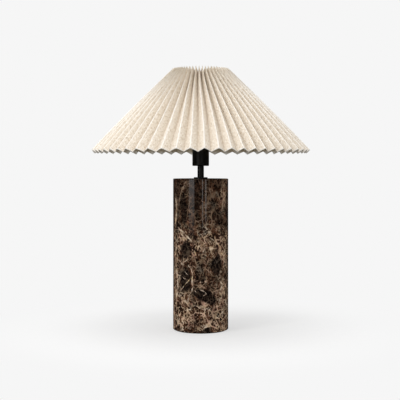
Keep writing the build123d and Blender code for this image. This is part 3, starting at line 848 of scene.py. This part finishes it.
def makeShade(settings, clothSettings):
    folds = 2 * settings["pleats"]
    foldTurn = math.pi / settings["pleats"]
    run = settings["rimRadius"] - settings["crownRadius"]
    rimHeight = settings["crownHeight"] - settings["rise"]
    slope = math.atan2(settings["rise"], run)
    slant = math.hypot(run, settings["rise"])
    chance = random.Random(settings["seed"])
    turns = [math.radians(chance.uniform(-1, 1) * settings["turnJitter"]) for _ in range(folds)]
    insets = [chance.uniform(0, settings["depthJitter"]) for _ in range(folds)]
    bulges = [chance.uniform(-1, 1) * settings["bulge"] for _ in range(folds)]

    def pleatDepth(radius):
        return math.sqrt(settings["pleatWidth"] ** 2 - (radius * math.sin(foldTurn)) ** 2)

    depths = (pleatDepth(settings["rimRadius"]), pleatDepth(settings["crownRadius"]))

    def foldAngle(fold, share):
        even = math.radians(settings["firstRidge"]) + fold * foldTurn
        fromFront = even + math.pi / 2
        drift = settings["driftAmount"] * math.cos(
            settings["driftWaves"] * (fromFront - math.radians(settings["driftAt"]))
        )
        lean = settings["crownLean"] + settings["crownLeanWave"] * math.cos(
            2 * (fromFront - math.radians(settings["crownLeanAt"]))
        )
        jitter = turns[fold % folds] * (1 - settings["turnSteadied"] * share)
        return even + math.radians(drift - lean * share ** settings["crownLeanPower"]) + jitter

    def foldPoint(fold, share):
        # point on one fold, share of the way up the slant
        number = fold % folds
        depth = (1 - share) * depths[0] + share * depths[1] - insets[number] if fold % 2 else insets[number]
        depth -= settings["foldBow"] * math.sin(math.pi * max(0.0, share) ** settings["foldBowPower"])
        radius = settings["rimRadius"] - share * run - depth * math.sin(slope)
        height = rimHeight + share * settings["rise"] - depth * math.cos(slope)
        angle = foldAngle(fold, share)
        return Vector((radius * math.cos(angle), radius * math.sin(angle), height))

    def outwards(fold, share):
        # square to the flat between one fold and the next, on the cloth's face
        width = foldPoint(fold + 1, share) - foldPoint(fold, share)
        upwards = foldPoint(fold, share + settings["shortWay"]) - foldPoint(fold, share)
        return width.cross(upwards).normalized()

    def clothPoint(fold, part, share, past):
        # part of the way over the flat between one fold and the next, and past the start of the lap
        start, end = foldPoint(fold, share), foldPoint(fold + 1, share)
        point = start.lerp(end, part)
        if min(part, 1 - part) < settings["creaseRound"] / 2:
            # a bent cloth can't crease to a point, so the fold is blunted a little
            crease = fold if part < 0.5 else fold + 1
            sides = foldPoint(crease + 1, share).lerp(foldPoint(crease - 1, share), 0.5)
            point += (sides - foldPoint(crease, share)) * settings["creaseRound"]
        else:
            rimBow = settings["rimBow"] * (1 - share) ** settings["rimBowPower"]
            bow = bulges[fold % folds] * math.sin(math.pi * share) + rimBow
            bow *= math.sin(math.pi * part)
            point += outwards(fold, share) * bow
        if past > 0:
            # the lap is glued behind the first flat of the other length
            point -= outwards(fold, share) * settings["lapInset"] * min(1, settings["lapEase"] * past)
        return point

    def clothLightAndWear(fold, part, share):
        # how far the cloth is painted pale (painted highlight with some wear), how far it is painted dark
        # towards the inner folds (painted shade), and how far its film is painted pale by light near the rim
        def upTo(pair):
            return pair[0] + pair[1] * share

        near = min(part, 1 - part)
        fromRidge = part if fold % 2 == 0 else 1 - part
        beside = max(0.0, 1 - near / upTo(settings["highlightAndRubWidth"]))
        highlitAndRubbed = upTo(settings["highlitAndRubbed"]) * beside if fromRidge < 0.5 else 0.0
        # the cut edge is painted pale too: a painted highlight, partly wear of the cut edge
        highlitAndRubbed = max(highlitAndRubbed, settings["edgeHighlitAndRubbed"] - share / settings["edgeHighlightAndRubFade"])
        # painted shade: the flats darken towards the inner folds, more so up at the crown
        shadedInValleys = upTo(settings["shadedInValleys"]) * fromRidge ** settings["valleyShadePower"]
        # painted light: the film is painted paler at its folds near the cut rim, where light comes in under
        # the shade
        edge = min(1.0, max(0.0, settings["rimLightEdge"] - share / settings["rimLightFade"]))
        return highlitAndRubbed, shadedInValleys, fromRidge ** settings["rimLightFoldPower"] * edge

    def foldLength(name, node, firstFold, lastFold):
        count = lastFold - firstFold + settings["lapShare"]
        shape = bmesh.new()
        flatStrip = shape.loops.layers.uv.new("flatStrip")
        ridgeHighlightAndWearLayer = shape.verts.layers.float.new("ridgeHighlightAndWear")
        valleyShadeLayer = shape.verts.layers.float.new("valleyShade")
        rimLightLayer = shape.verts.layers.float.new("paintedRimLight")
        columns = round(count * settings["flatSteps"])
        bmesh.ops.create_grid(shape, x_segments=columns, y_segments=settings["slantSteps"], size=0.5)

        def acrossAt(vert):
            # columns stand closer together beside each crease
            across = round((vert.co.x + 0.5) * columns) / settings["flatSteps"]
            return across - settings["bunching"] * math.sin(2 * math.pi * across)

        def upSlant(vert):
            # rows stand closer together at the rim
            return (vert.co.y + 0.5) ** settings["rowPower"]

        for face in shape.faces:
            for loop in face.loops:
                loop[flatStrip].uv = (acrossAt(loop.vert) / folds, upSlant(loop.vert))
        for vert in shape.verts:
            across = acrossAt(vert)
            share = upSlant(vert)
            # whole numbers are creases, give or take a rounding, and between them lie the flats
            fold = math.floor(firstFold + across + settings["rounding"])
            part = max(0.0, firstFold + across - fold)
            vert.co = clothPoint(fold, part, share, across - (lastFold - firstFold))
            vert[ridgeHighlightAndWearLayer], vert[valleyShadeLayer], vert[rimLightLayer] = clothLightAndWear(fold, part, share)
        bmesh.ops.recalc_face_normals(shape, faces=shape.faces)
        shape.faces.ensure_lookup_table()
        sample = shape.faces[0]
        inside = Vector((0, 0, rimHeight - settings["insideDrop"]))
        if sample.normal.dot(sample.calc_center_median() - inside) < 0:
            bmesh.ops.reverse_faces(shape, faces=shape.faces)
        mesh = meshFrom(shape, name)
        mesh.shade_smooth()
        mesh.set_sharp_from_angle(angle=math.radians(settings["sharpFrom"]))
        cover = placeOnStage(name, mesh)
        wall = cover.modifiers.new("cloth", "SOLIDIFY")
        wall.thickness = settings["cloth"]
        wall.offset = -1.0
        wall.material_offset = 1
        mesh.materials.append(clothFace)
        mesh.materials.append(clothBack)
        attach(cover, "shade")
        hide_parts(node)

    clothFace = linenOnFilm(clothSettings, (folds * settings["pleatWidth"], slant, 1.0))
    clothBack = backingFilm(clothSettings)
    foldLength("backLinen", "back_cloth", 1, 1 + settings["pleats"])
    foldLength("frontLinen", "front_cloth", 1 + settings["pleats"], 1 + 2 * settings["pleats"])


makeShade(shade, linen)
print("shade folded")
